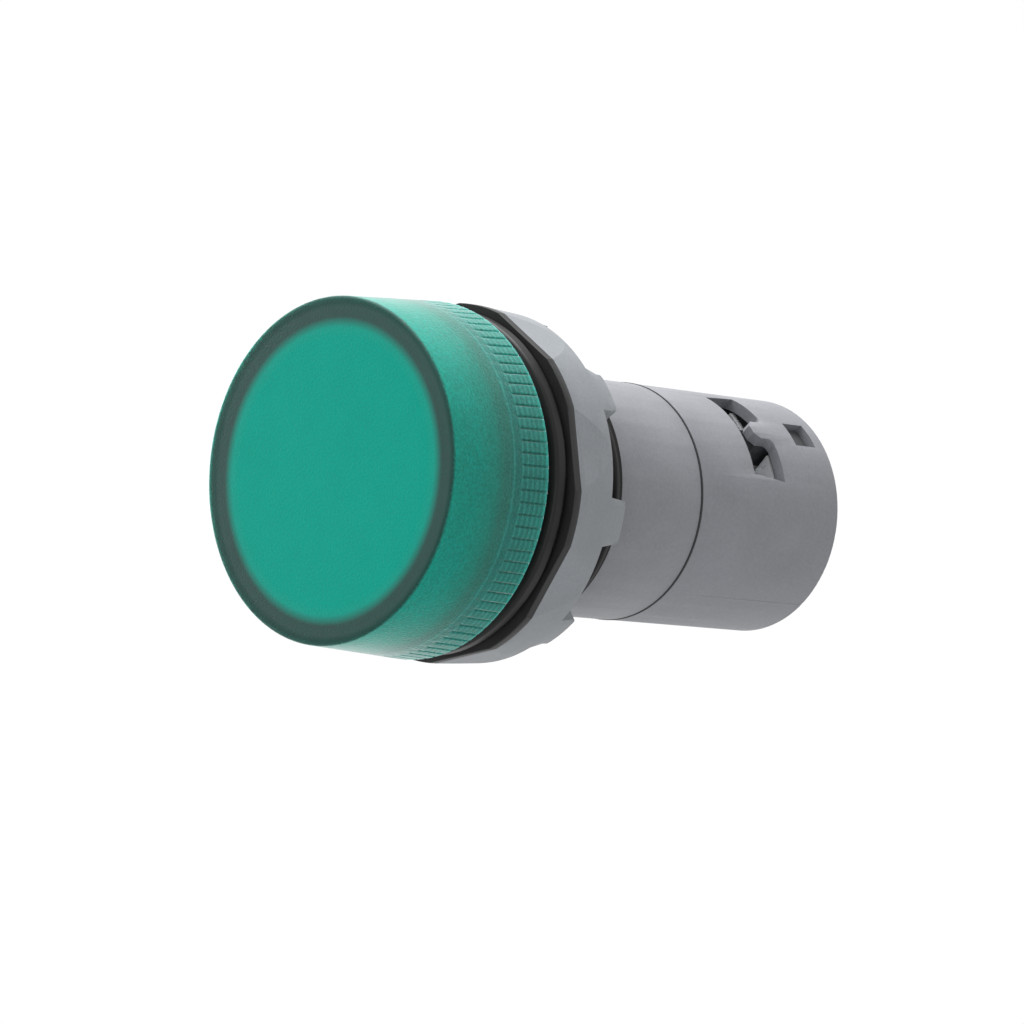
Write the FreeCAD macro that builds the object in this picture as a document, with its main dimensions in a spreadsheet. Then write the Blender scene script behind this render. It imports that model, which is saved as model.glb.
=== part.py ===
"""Panel pilot light for a 22 mm hole: lens, threaded body, fixing nut and a housing with two screw terminals.

The axis lies along Y. The panel's front face would be the plane Y = 0: the lens is on the -Y side and the
terminals are on the +Y side, with their wire openings toward +Z. Sizes are in millimetres.
"""
import FreeCAD, Part
import os
import re

import Sketcher

# Driving dimensions: name, value, meaning
SIZES = [
    ("neck_radius", 11.0, "outer radius of the threaded neck"),
    ("neck_wall", 1.6, "wall of the threaded neck"),
    ("neck_reach", 9.7, "neck, from the panel seat to its rear end"),
    ("thread_clearance", 0.08, "radial clearance of a screwed fit"),
    ("fit_clearance", 0.05, "clearance of pieces that fit in one another"),
    ("collar_step", 1.6, "how far the lens's collar stands out past the neck"),
    ("collar_wall", 1.3, "wall of that collar"),
    ("collar_length", 3.9, "collar, from the flange's front face"),
    ("flange_step", 0.85, "how far the flange stands out past the collar"),
    ("flange_thickness", 0.85, "thickness of the flange"),
    ("seal_section", 1.0, "thickness of the lens's O-ring"),
    ("lens_length", 10.4, "lens, front face to rear edge"),
    ("lens_gap", 0.1, "gap between the lens and the flange behind it"),
    ("lens_rear_wall", 0.89, "wall of the lens round the seal, ribs included"),
    ("lens_draft", 0.6, "how much narrower the lens is at its face, on the radius"),
    ("lens_face_wall", 1.6, "thickness of the lens face"),
    ("lens_side_wall", 2.1, "thickness of the lens wall at its face"),
    ("lens_edge_round", 0.3, "rounding of the lens's front edge"),
    ("thread_relief", 0.5, "lens's wide bore, past the collar"),
    ("rib_band", 3.2, "length of the ribbed band at the lens's rear"),
    ("rib_count", 92, "ribs round the lens"),
    ("rib_depth", 0.16, "depth of the grooves between ribs"),
    ("rib_groove", 0.3, "width of the grooves between ribs"),
    ("gasket_lip", 0.75, "how far the gasket's lip stands out past the flange"),
    ("gasket_rear_lip", 0.3, "the same at the gasket's rear face"),
    ("gasket_thickness", 1.85, "gasket, flange to panel seat"),
    ("gasket_bevel", 0.45, "bevel on each side of the gasket's lip"),
    ("gasket_round", 0.35, "rounding of the gasket's lip"),
    ("washer_gap", 0.12, "gap between the gasket and the nut's washer"),
    ("washer_thickness", 0.48, "thickness of the nut's washer"),
    ("nut_wall", 3.38, "nut's wall at its flats, from the neck's thread outward"),
    ("nut_draft", 0.2, "how much further out the flats are at the nut's rear"),
    ("nut_corner", 0.41, "how far the nut's corners stand out past its flats, at the front"),
    ("nut_rear_trim", 0.03, "nut's round rear edge, in from its flats"),
    ("nut_length", 4.11, "nut without its tabs"),
    ("nut_turned", 8.8, "turn of the nut about the axis, in degrees"),
    ("tab_count", 8, "tabs on the nut"),
    ("tab_length", 1.75, "length of the tabs"),
    ("tab_width", 4.05, "width of a tab at its root"),
    ("tab_tip_width", 3.6, "width of a tab at its end"),
    ("tab_thickness", 2.3, "radial thickness of a tab"),
    ("tab_draft", 0.45, "how much further in a tab's outside is at its end"),
    ("tab_round", 0.5, "rounding of the tab's corners"),
    ("housing_step", 0.92, "rear housing's outside, in from the neck's"),
    ("housing_wall", 0.95, "wall of the rear housing"),
    ("housing_round", 0.2, "rounding of the housing's rear edge"),
    ("housing_front_length", 10.7, "visible length of the front segment"),
    ("housing_rear_length", 17.55, "visible length of the rear segment"),
    ("spigot_wall", 1.1, "wall of the spigots that join the housing"),
    ("spigot_length", 5.0, "length of those spigots"),
    ("ring_thickness", 0.2, "thickness of the ring between the segments"),
    ("ring_proud", 0.04, "how far that ring stands out"),
    ("diffuser_wall", 0.7, "wall of the diffuser"),
    ("diffuser_gap", 1.25, "gap between the diffuser's skirt and the collar"),
    ("reflector_wall", 0.7, "wall of the reflector"),
    ("reflector_rim_gap", 0.2, "gap between the reflector's rim and the diffuser's skirt"),
    ("reflector_face_gap", 0.15, "gap between the reflector's rim and the diffuser's disc"),
    ("board_thickness", 1.0, "thickness of both boards"),
    ("light_board_gap", 0.2, "gap between the round board and the collar's bore"),
    ("light_count", 6, "light sources on the round board"),
    ("light_circle", 5.2, "radius of the circle of light sources"),
    ("light_size", 2.0, "side of one light source"),
    ("light_height", 0.8, "height of one light source"),
    ("light_margin", 0.4, "light sources, in from the reflector's root"),
    ("board_front_gap", 1.3, "long board's front end, behind the round board"),
    ("board_rear_gap", 1.6, "long board's rear end, in front of the terminal block"),
    ("board_side_gap", 0.06, "gap between the long board's edges and the narrowest bore"),
    ("board_drop", 6.13, "long board's upper face, down from the narrowest bore's top"),
    ("pin_count", 4, "pins between the boards"),
    ("pin_size", 0.5, "side of one pin"),
    ("pin_spacing", 2.0, "pin to pin"),
    ("pin_overlap", 2.9, "length of a pin on the long board"),
    ("board_margin", 4.8, "first components, from the long board's front end"),
    ("component_gap", 0.9, "gap between components in the board's middle row"),
    ("resistor_radius", 1.3, "radius of a resistor's body"),
    ("resistor_length", 6.6, "length of a resistor's body"),
    ("resistor_margin", 2.3, "resistor's centre, in from the board's edge"),
    ("lead_radius", 0.3, "radius of a component's lead"),
    ("lead_reach", 1.2, "straight part of a resistor's lead"),
    ("post_radius", 0.45, "radius of the solder post at a resistor's end"),
    ("capacitor_headroom", 0.73, "space above the capacitor"),
    ("capacitor_side_gap", 1.2, "gap between the capacitor and a resistor"),
    ("capacitor_length", 8.0, "length of the capacitor"),
    ("cap_round", 0.4, "rounding of the capacitor's ends"),
    ("absorber_headroom", 0.13, "space above the surge absorber"),
    ("absorber_thickness", 1.8, "thickness of the surge absorber"),
    ("absorber_stand", 0.4, "surge absorber, off the board"),
    ("absorber_leads", 3.0, "lead to lead on the surge absorber"),
    ("rectifier_width", 5.0, "rectifier, across"),
    ("rectifier_length", 4.2, "rectifier, along"),
    ("rectifier_height", 1.9, "rectifier, off the board"),
    ("leg_width", 0.7, "width and reach of a rectifier's leg"),
    ("leg_thickness", 0.3, "thickness of a rectifier's leg"),
    ("window_inset", 10.7, "front edge of the terminal opening, from the housing's rear end"),
    ("window_length", 3.85, "terminal opening, along the axis"),
    ("window_width", 9.66, "terminal opening, across both pockets at its rear"),
    ("window_taper", 0.41, "how much narrower the opening is at its front, on each side"),
    ("window_round", 0.6, "rounding of the opening's corners beside the tongue"),
    ("tongue_width", 1.94, "width of the tongue between the pockets"),
    ("tongue_tip", 1.85, "tongue's tip, behind the opening's front edge"),
    ("tongue_bevel", 0.55, "bevel of the tongue's corners"),
    ("block_lead", 1.3, "terminal block's front face, before the opening's front edge"),
    ("block_clearance", 0.05, "terminal block in the housing"),
    ("catch_window", 2.55, "side of the square catch window"),
    ("catch_inset", 2.6, "centre of the catch window, from the housing's rear end"),
    ("catch_height", 0.3, "height of the catch above the terminal block"),
    ("catch_clearance", 0.15, "catch in its window"),
    ("cage_side_margin", 0.08, "terminal cage, in from its pocket's sides"),
    ("cage_setback", 0.2, "terminal cage's front face, behind the opening's front edge"),
    ("cage_cover", 0.7, "terminal cage's upper corners, in from the terminal block's outside"),
    ("cage_wall", 0.6, "wall of the terminal cage"),
    ("cage_rear_wall", 1.2, "threaded rear wall of the terminal cage"),
    ("lug_width", 2.0, "width of the lug that stands on the cage's rear wall"),
    ("lug_cover", 0.1, "lug's corners, in from the terminal block's outside"),
    ("web_setback", 2.5, "web between the chambers, behind the opening's front edge"),
    ("wire_space", 2.8, "space for a wire in the cage, along the axis"),
    ("tail_width", 1.3, "width of the terminal's tail"),
    ("tail_overlap", 2.1, "length of the tail on the board"),
    ("clamp_thickness", 0.7, "thickness of a pressure plate"),
    ("clamp_play", 0.1, "gap round a pressure plate"),
    ("clamp_margin", 0.3, "pressure plate, in from the cage's top and bottom"),
    ("screw_radius", 1.25, "radius of a terminal screw's shank"),
    ("screw_reach", 3.6, "length of a terminal screw's shank"),
    ("screw_bevel", 0.25, "bevel at the tip of a terminal screw"),
    ("head_radius", 2.1, "radius of a terminal screw's head"),
    ("head_height", 1.6, "height of a terminal screw's head"),
    ("head_clearance", 0.2, "gap round a terminal screw's head"),
    ("drive_width", 0.6, "width of the screw's cross slots"),
    ("drive_depth", 0.9, "depth of the screw's cross slots"),
    ("drive_length", 2.8, "length of the screw's cross slots"),
]

# Radii worked out from the driving dimensions, outward from the neck
NECK_BORE = "(neck_radius - neck_wall)"
COLLAR = "(neck_radius + collar_step)"
COLLAR_BORE = f"({COLLAR} - collar_wall)"
FLANGE = f"({COLLAR} + flange_step)"
SEAL_BORE = f"({COLLAR} + seal_section + 2 * thread_clearance)"
RIBS = f"({SEAL_BORE} + lens_rear_wall)"
LENS_FACE = f"({RIBS} - lens_draft)"
LENS_BORE = f"({LENS_FACE} - lens_side_wall)"
DIFFUSER = f"({LENS_BORE} - fit_clearance)"
DIFFUSER_BORE = f"({DIFFUSER} - diffuser_wall)"
GASKET = f"({FLANGE} + gasket_lip)"
NUT_BORE = "(neck_radius + thread_clearance)"
NUT_FLATS = "(neck_radius + nut_wall)"
NUT_CORNERS = f"({NUT_FLATS} + nut_corner)"
NUT_REAR_EDGE = f"({NUT_FLATS} + nut_draft - nut_rear_trim)"
HOUSING = "(neck_radius - housing_step)"
HOUSING_BORE = f"({HOUSING} - housing_wall)"
REAR_SPIGOT = f"({HOUSING_BORE} - fit_clearance)"
REAR_SPIGOT_BORE = f"({REAR_SPIGOT} - spigot_wall)"
BLOCK = f"({HOUSING_BORE} - block_clearance)"

# Stations along the axis
FLANGE_REAR = "(-gasket_thickness)"
FLANGE_FRONT = "(-gasket_thickness - flange_thickness)"
COLLAR_FRONT = f"({FLANGE_FRONT} - collar_length)"
LENS_REAR = f"({FLANGE_FRONT} - lens_gap)"
LENS_FRONT = f"({LENS_REAR} - lens_length)"
DIFFUSER_FRONT = f"({LENS_FRONT} + lens_face_wall + fit_clearance)"
DISC_REAR = f"({DIFFUSER_FRONT} + diffuser_wall)"
LIGHT_BOARD_FRONT = f"({FLANGE_FRONT} - board_thickness)"
WASHER_FRONT = "(washer_gap)"
NUT_FRONT = "(washer_gap + washer_thickness)"
NUT_REAR = f"({NUT_FRONT} + nut_length)"
TAB_REAR = f"({NUT_REAR} + tab_length)"
HOUSING_FRONT = "(neck_reach + fit_clearance)"
RING_FRONT = f"({HOUSING_FRONT} + housing_front_length)"
RING_REAR = f"({RING_FRONT} + ring_thickness)"
HOUSING_REAR = f"({RING_REAR} + housing_rear_length)"
WINDOW_FRONT = f"({HOUSING_REAR} - window_inset)"
CATCH = f"({HOUSING_REAR} - catch_inset)"
BLOCK_FRONT = f"({WINDOW_FRONT} - block_lead)"
CAGE_FRONT = f"({WINDOW_FRONT} + cage_setback)"
SPACE_FRONT = f"({CAGE_FRONT} + cage_wall)"
SPACE_REAR = f"({SPACE_FRONT} + wire_space)"
CAGE_REAR = f"({SPACE_REAR} + cage_rear_wall)"
CLAMP_REAR = f"({SPACE_REAR} - clamp_play)"
HEAD_FRONT = f"({CLAMP_REAR} + screw_reach)"
BOARD_FRONT = f"({FLANGE_FRONT} + board_front_gap)"
BOARD_REAR = f"({BLOCK_FRONT} - board_rear_gap)"
COMPONENTS = f"({BOARD_FRONT} + board_margin)"
ABSORBER_FRONT = f"({COMPONENTS} + capacitor_length + component_gap)"
RECTIFIER_FRONT = f"({ABSORBER_FRONT} + absorber_thickness + component_gap)"

# Widths and heights of what the housing's bore holds
CAGE_WIDTH = "((window_width - tongue_width) / 2 - 2 * cage_side_margin)"
CAGE_OFFSET = "((window_width + tongue_width) / 4)"
BOARD_TOP = f"({REAR_SPIGOT_BORE} - board_drop)"
BOARD_HALF = f"sqrt(({REAR_SPIGOT_BORE} - board_side_gap) ^ 2 - {BOARD_TOP} ^ 2)"
CAGE_TOP = f"sqrt(({BLOCK} - cage_cover) ^ 2 - ({CAGE_OFFSET} + {CAGE_WIDTH} / 2) ^ 2)"
LUG_TOP = f"sqrt(({BLOCK} - lug_cover) ^ 2 - ({CAGE_OFFSET} + lug_width / 2) ^ 2)"
SCREW_HEIGHT = f"(({BOARD_TOP} + {CAGE_TOP}) / 2)"
RESISTOR_OFFSET = f"({BOARD_HALF} - resistor_margin)"
CAPACITOR_SIDEWAYS = f"{RESISTOR_OFFSET} - resistor_radius - capacitor_side_gap"
CAPACITOR = f"min((board_drop - capacitor_headroom) / 2; {CAPACITOR_SIDEWAYS})"
ABSORBER = "((board_drop - absorber_stand - absorber_headroom) / 2)"

doc = FreeCAD.newDocument("PanelPilotLight")
sheet = doc.addObject("Spreadsheet::Sheet", "Sizes")
for row, (alias, number, meaning) in enumerate(SIZES, 1):
    sheet.set(f"A{row}", meaning)
    sheet.set(f"B{row}", str(number))
    sheet.setAlias(f"B{row}", alias)
doc.recompute()

ALIASES = {alias for alias, number, meaning in SIZES}
ALONG_Y = FreeCAD.Rotation(FreeCAD.Vector(1, 0, 0), -90)
parts = []


def bind(item, prop, words):
    """Tie a property to an expression written in the sheet's words."""
    item.setExpression(prop, re.sub(r"[a-z_]+", lambda found: sheet_word(found.group()), words))


def sheet_word(word):
    return f"Sizes.{word}" if word in ALIASES else word


def keep(item, label):
    """Count an object as a finished sub-part under its own label."""
    item.Label = label
    parts.append(item)
    return item


def new_body(label):
    return keep(doc.addObject("PartDesign::Body", label), label)


# Sketches

def sketch_on(body, role, lift="0"):
    """An empty sketch on one of the body's own planes, lifted along that plane's normal."""
    sketch = body.newObject("Sketcher::SketchObject", "Outline")
    plane = [item for item in body.Origin.OriginFeatures if item.Role == role][0]
    sketch.AttachmentSupport = (plane, "")
    sketch.MapMode = "FlatFace"
    bind(sketch, "AttachmentOffset.Base.z", lift)
    return sketch


def across(body, station):
    """A sketch across the axis at a station: X to the right and Z up."""
    return sketch_on(body, "XZ_Plane", f"-({station})")


def polygon(sketch, corners):
    """A closed outline whose corners are pairs of expressions."""
    count = len(corners)
    first = len(sketch.Geometry)
    places = [FreeCAD.Vector(1, 0, 0)] * count
    turn = FreeCAD.Rotation(FreeCAD.Vector(0, 0, 1), 360 / count)
    for index in range(1, count):
        places[index] = turn.multVec(places[index - 1])
    for index in range(count):
        sketch.addGeometry(Part.LineSegment(places[index], places[(index + 1) % count]), False)
    for index in range(count):
        line, following = first + index, first + (index + 1) % count
        sketch.addConstraint(Sketcher.Constraint("Coincident", line, 2, following, 1))
    for index, (along, up) in enumerate(corners):
        tie_point(sketch, first + index, 1, along, up, places[index])


def tie_point(sketch, geometry, vertex, along, up, place):
    """Hold a point of a sketch at a pair of expressions."""
    for kind, words, start in (("DistanceX", along, place.x), ("DistanceY", up, place.y)):
        number = sketch.addConstraint(Sketcher.Constraint(kind, -1, 1, geometry, vertex, start))
        bind(sketch, f"Constraints[{number}]", words)


def circle(sketch, radius, along="0", up="0"):
    start = FreeCAD.Vector(1, 1, 0)
    number = sketch.addGeometry(Part.Circle(start, FreeCAD.Vector(0, 0, 1), 1), False)
    tie_point(sketch, number, 3, along, up, start)
    limit = sketch.addConstraint(Sketcher.Constraint("Radius", number, 1))
    bind(sketch, f"Constraints[{limit}]", radius)


def rectangle(sketch, left, right, low, high):
    polygon(sketch, [(left, low), (right, low), (right, high), (left, high)])


# Features

def feature(body, kind, name, sketch):
    made = body.newObject(kind, name)
    made.Profile = sketch
    sketch.Visibility = False
    return made


def turned(body, name, corners, cut=False):
    """A profile of stations and radii turned about the axis, added or cut."""
    sketch = sketch_on(body, "YZ_Plane")
    polygon(sketch, corners)
    made = feature(body, "PartDesign::Groove" if cut else "PartDesign::Revolution", name, sketch)
    made.ReferenceAxis = (sketch, ["H_Axis"])
    made.Angle = 360
    return made


def pad(body, name, sketch, length, backward=False):
    made = feature(body, "PartDesign::Pad", name, sketch)
    bind(made, "Length", length)
    made.Reversed = backward
    return made


def pocket(body, name, sketch, length, forward=False):
    made = feature(body, "PartDesign::Pocket", name, sketch)
    bind(made, "Length", length)
    made.Reversed = forward
    return made


def repeated(body, name, original, count):
    """Copies of a feature spaced evenly round the axis."""
    pattern = body.newObject("PartDesign::PolarPattern", name)
    pattern.Originals = [original]
    axis = [item for item in body.Origin.OriginFeatures if item.Role == "Y_Axis"][0]
    pattern.Axis = (axis, [""])
    pattern.Angle = 360
    bind(pattern, "Occurrences", count)
    body.Tip = pattern
    return pattern


def dressed(body, kind, name, size, chosen):
    """A fillet or chamfer on the edges of the tip for which chosen is true."""
    doc.recompute()
    base = body.Tip
    edges = [f"Edge{number}" for number, edge in enumerate(base.Shape.Edges, 1) if chosen(edge)]
    made = body.newObject(kind, name)
    made.Base = (base, edges)
    bind(made, "Radius" if kind == "PartDesign::Fillet" else "Size", size)
    return made


def value(words):
    """The number that an expression in the sheet's words stands for."""
    return sheet.evalExpression(words)


def is_circle(edge, radius):
    """Whether an edge is round with a given radius."""
    return isinstance(edge.Curve, Part.Circle) and abs(edge.Curve.Radius - radius) < 1e-4


def stands_at(edge, station):
    """Whether both ends of an edge lie at a station."""
    return all(abs(vertex.Point.y - station) < 1e-4 for vertex in edge.Vertexes)


def turn_about_axis(body, degrees):
    """Turn a finished body about the axis, from +Z toward +X."""
    body.Placement = FreeCAD.Placement(FreeCAD.Vector(), FreeCAD.Rotation(FreeCAD.Vector(0, 1, 0), 1))
    bind(body, "Placement.Rotation.Angle", f"{degrees} * 1 deg")


# Solids of simple form

def box(left, right, front, rear, low, high, name="Block"):
    """A box between three pairs of expressions."""
    item = doc.addObject("Part::Box", name)
    bind(item, "Length", f"({right}) - ({left})")
    bind(item, "Width", f"({rear}) - ({front})")
    bind(item, "Height", f"({high}) - ({low})")
    bind(item, "Placement.Base.x", left)
    bind(item, "Placement.Base.y", front)
    bind(item, "Placement.Base.z", low)
    return item


def rod(radius, front, rear, along="0", up="0", name="Rod"):
    """A cylinder along the axis's direction, between two stations."""
    item = doc.addObject("Part::Cylinder", name)
    item.Placement = FreeCAD.Placement(FreeCAD.Vector(), ALONG_Y)
    bind(item, "Radius", radius)
    bind(item, "Height", f"({rear}) - ({front})")
    bind(item, "Placement.Base.x", along)
    bind(item, "Placement.Base.y", front)
    bind(item, "Placement.Base.z", up)
    return item


def post(radius, low, high, along, station, name="Post"):
    """An upright cylinder."""
    item = doc.addObject("Part::Cylinder", name)
    bind(item, "Radius", radius)
    bind(item, "Height", f"({high}) - ({low})")
    bind(item, "Placement.Base.x", along)
    bind(item, "Placement.Base.y", station)
    bind(item, "Placement.Base.z", low)
    return item


def fused(items, name="Joined"):
    item = doc.addObject("Part::MultiFuse", name)
    item.Shapes = items
    item.Refine = True
    return item


def cut(base, tool, name="Hollowed"):
    item = doc.addObject("Part::Cut", name)
    item.Base = base
    item.Tool = tool
    item.Refine = True
    return item


def grouped(items, label):
    item = doc.addObject("Part::Compound", label)
    item.Links = items
    return keep(item, label)


def octagon(flats):
    """Corners of the nut's octagon, the first one toward +X."""
    reach = f"{flats} / cos(180 deg / tab_count)"
    turns = [f"({index} * 360 deg / tab_count)" for index in range(int(value("tab_count")))]
    return [(f"{reach} * cos{turn}", f"{reach} * sin{turn}") for turn in turns]


# Front: lens, its seal and the body that carries it

def make_lens():
    """A cup with a ribbed grip, bored for the diffuser and then wider for the collar's thread and seal."""
    body = new_body("lens")
    band_front = f"({LENS_REAR} - rib_band)"
    face_rear = f"({LENS_FRONT} + lens_face_wall)"
    thread_bore = f"({COLLAR} + thread_clearance)"
    thread_front = f"({COLLAR_FRONT} - thread_relief)"
    seal_front = f"({FLANGE_FRONT} - seal_section - 2 * thread_clearance)"
    turned(body, "Cup", [
        (LENS_FRONT, "0"), (LENS_FRONT, LENS_FACE), (band_front, f"{RIBS} - rib_depth"),
        (f"{band_front} + rib_depth", RIBS), (LENS_REAR, RIBS),
        (LENS_REAR, SEAL_BORE), (seal_front, SEAL_BORE), (seal_front, thread_bore),
        (thread_front, thread_bore), (thread_front, LENS_BORE), (face_rear, LENS_BORE), (face_rear, "0")])
    dressed(body, "PartDesign::Fillet", "FrontRound", "lens_edge_round",
            lambda edge: is_circle(edge, value(LENS_FACE)))
    groove = across(body, LENS_REAR)
    polygon(groove, [
        ("-rib_groove / 2", f"{RIBS} + rib_depth"), ("0", f"{RIBS} - rib_depth"),
        ("rib_groove / 2", f"{RIBS} + rib_depth")])
    repeated(body, "Ribs", pocket(body, "RibGroove", groove, "rib_band", forward=True), "rib_count")


def make_diffuser():
    """A cup that lies behind the lens's face, its skirt in the lens's bore."""
    body = new_body("diffuser")
    skirt_rear = f"({COLLAR_FRONT} - diffuser_gap)"
    turned(body, "Cup", [
        (DIFFUSER_FRONT, "0"), (DIFFUSER_FRONT, DIFFUSER), (skirt_rear, DIFFUSER),
        (skirt_rear, DIFFUSER_BORE), (DISC_REAR, DIFFUSER_BORE), (DISC_REAR, "0")])


def make_lens_seal():
    """An O-ring against the flange and round the root of the collar."""
    ring = doc.addObject("Part::Torus", "Ring")
    ring.Placement = FreeCAD.Placement(FreeCAD.Vector(), ALONG_Y)
    bind(ring, "Radius1", f"{COLLAR} + seal_section / 2 + thread_clearance / 4")
    bind(ring, "Radius2", "seal_section / 2")
    bind(ring, "Placement.Base.y", f"{FLANGE_FRONT} - seal_section / 2 - thread_clearance / 4")
    keep(ring, "lens_seal")


def make_front_body():
    """Collar for the lens, flange and threaded neck, moulded as one."""
    body = new_body("front_body")
    turned(body, "Shell", [
        (COLLAR_FRONT, COLLAR_BORE), (COLLAR_FRONT, COLLAR), (FLANGE_FRONT, COLLAR),
        (FLANGE_FRONT, FLANGE), (FLANGE_REAR, FLANGE), (FLANGE_REAR, "neck_radius"),
        ("neck_reach", "neck_radius"), ("neck_reach", NECK_BORE), (FLANGE_FRONT, NECK_BORE),
        (FLANGE_FRONT, COLLAR_BORE)])


def make_panel_gasket():
    """A rubber ring whose rounded lip stands out past the flange."""
    body = new_body("panel_gasket")
    bore = "(neck_radius + fit_clearance)"
    turned(body, "Ring", [
        (FLANGE_REAR, bore), (FLANGE_REAR, FLANGE), (f"{FLANGE_REAR} + gasket_bevel", GASKET),
        ("-gasket_bevel", GASKET), ("0", f"{FLANGE} + gasket_rear_lip"), ("0", bore)])
    dressed(body, "PartDesign::Fillet", "LipRound", "gasket_round", lambda edge: is_circle(edge, value(GASKET)))


# Fixing: washer and nut

def make_nut_washer():
    """A thin octagonal plate with the nut's outline."""
    body = new_body("nut_washer")
    sketch = across(body, WASHER_FRONT)
    polygon(sketch, octagon(NUT_FLATS))
    circle(sketch, NUT_BORE)
    pad(body, "Plate", sketch, "washer_thickness", backward=True)
    turned(body, "CornerTrim", [
        (WASHER_FRONT, NUT_CORNERS), (NUT_FRONT, NUT_CORNERS),
        (NUT_FRONT, f"2 * {NUT_CORNERS}"), (WASHER_FRONT, f"2 * {NUT_CORNERS}")], cut=True)
    turn_about_axis(body, "nut_turned")


def make_panel_nut():
    """Octagonal at its front, where its flats taper out into a round rear edge, with tabs behind its corners."""
    body = new_body("panel_nut")
    sketch = across(body, NUT_FRONT)
    polygon(sketch, octagon(NUT_FLATS))
    blank = pad(body, "Blank", sketch, "nut_length", backward=True)
    bind(blank, "TaperAngle", "atan(nut_draft / nut_length)")
    tab = sketch_on(body, "YZ_Plane", f"{NUT_REAR_EDGE} - tab_thickness")
    polygon(tab, [
        (NUT_REAR, "-tab_width / 2"), (TAB_REAR, "-tab_tip_width / 2"),
        (TAB_REAR, "tab_tip_width / 2"), (NUT_REAR, "tab_width / 2")])
    repeated(body, "Tabs", pad(body, "Tab", tab, "2 * tab_thickness"), "tab_count")
    turned(body, "CornerTrim", [
        (NUT_FRONT, NUT_CORNERS), (NUT_REAR, NUT_REAR_EDGE), (TAB_REAR, f"({NUT_REAR_EDGE} - tab_draft)"),
        (TAB_REAR, f"2 * {NUT_CORNERS}"), (NUT_FRONT, f"2 * {NUT_CORNERS}")], cut=True)
    turned(body, "Bore", [
        (NUT_FRONT, "0"), (NUT_FRONT, NUT_BORE), (NUT_REAR, NUT_BORE), (NUT_REAR, "0")], cut=True)
    dressed(body, "PartDesign::Fillet", "TabRounds", "tab_round", is_tab_corner)
    turn_about_axis(body, "nut_turned")


def is_tab_corner(edge):
    """Whether an edge runs outward along the end of a tab, at one of its sides."""
    if not isinstance(edge.Curve, Part.Line) or not stands_at(edge, value(TAB_REAR)):
        return False
    outward = [(vertex.Point.x ** 2 + vertex.Point.z ** 2) ** 0.5 for vertex in edge.Vertexes]
    return abs(outward[0] - outward[1]) > value("tab_thickness") / 2


# Rear: the two housing segments, the ring between them and the terminal block

def make_housing_front():
    """A tube with a spigot in the neck, bored for the rear segment's spigot."""
    body = new_body("housing_front")
    spigot = f"({NECK_BORE} - fit_clearance)"
    spigot_bore = f"({spigot} - spigot_wall)"
    front = f"({HOUSING_FRONT} - spigot_length)"
    step = f"({HOUSING_FRONT} + housing_wall)"
    turned(body, "Tube", [
        (front, spigot_bore), (front, spigot), (HOUSING_FRONT, spigot), (HOUSING_FRONT, HOUSING),
        (RING_FRONT, HOUSING), (RING_FRONT, HOUSING_BORE), (step, HOUSING_BORE), (step, spigot_bore)])


def make_housing_seal():
    """The thin dark ring between the two segments."""
    body = new_body("housing_seal")
    rim = f"({HOUSING} + ring_proud)"
    turned(body, "Ring", [
        (RING_FRONT, HOUSING_BORE), (RING_FRONT, rim), (RING_REAR, rim), (RING_REAR, HOUSING_BORE)])


def make_housing_rear():
    """A tube with a front spigot, a C-shaped opening over the terminals and two catch windows."""
    body = new_body("housing_rear")
    front = f"({RING_FRONT} - spigot_length)"
    step = f"({RING_REAR} + housing_wall)"
    turned(body, "Tube", [
        (front, REAR_SPIGOT_BORE), (front, REAR_SPIGOT), (RING_REAR, REAR_SPIGOT), (RING_REAR, HOUSING),
        (HOUSING_REAR, HOUSING), (HOUSING_REAR, HOUSING_BORE), (step, HOUSING_BORE),
        (step, REAR_SPIGOT_BORE)])
    dressed(body, "PartDesign::Fillet", "RearRound", "housing_round",
            lambda edge: is_circle(edge, value(HOUSING)) and stands_at(edge, value(HOUSING_REAR)))
    opening = sketch_on(body, "XY_Plane")
    rear = f"({WINDOW_FRONT} + window_length)"
    tip = f"({WINDOW_FRONT} + tongue_tip)"
    root = f"({tip} + tongue_bevel)"
    polygon(opening, [
        ("window_taper - window_width / 2", WINDOW_FRONT), ("window_width / 2 - window_taper", WINDOW_FRONT),
        ("window_width / 2", rear), ("tongue_width / 2", rear), ("tongue_width / 2", root),
        ("tongue_width / 2 - tongue_bevel", tip), ("tongue_bevel - tongue_width / 2", tip),
        ("-tongue_width / 2", root), ("-tongue_width / 2", rear), ("-window_width / 2", rear)])
    pocket(body, "TerminalOpening", opening, HOUSING, forward=True)
    dressed(body, "PartDesign::Fillet", "TongueRounds", "window_round", is_tongue_root)
    catch = sketch_on(body, "XY_Plane")
    rectangle(catch, "-catch_window / 2", "catch_window / 2",
              f"{CATCH} - catch_window / 2", f"{CATCH} + catch_window / 2")
    windows = pocket(body, "CatchWindows", catch, f"2 * {HOUSING}")
    windows.Midplane = True


def is_tongue_root(edge):
    """Whether an edge runs through the wall at the opening's rear, at one side of the tongue."""
    if not isinstance(edge.Curve, Part.Line) or not stands_at(edge, value(f"{WINDOW_FRONT} + window_length")):
        return False
    return all(abs(abs(vertex.Point.x) - value("tongue_width / 2")) < 1e-4 for vertex in edge.Vertexes)


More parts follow.
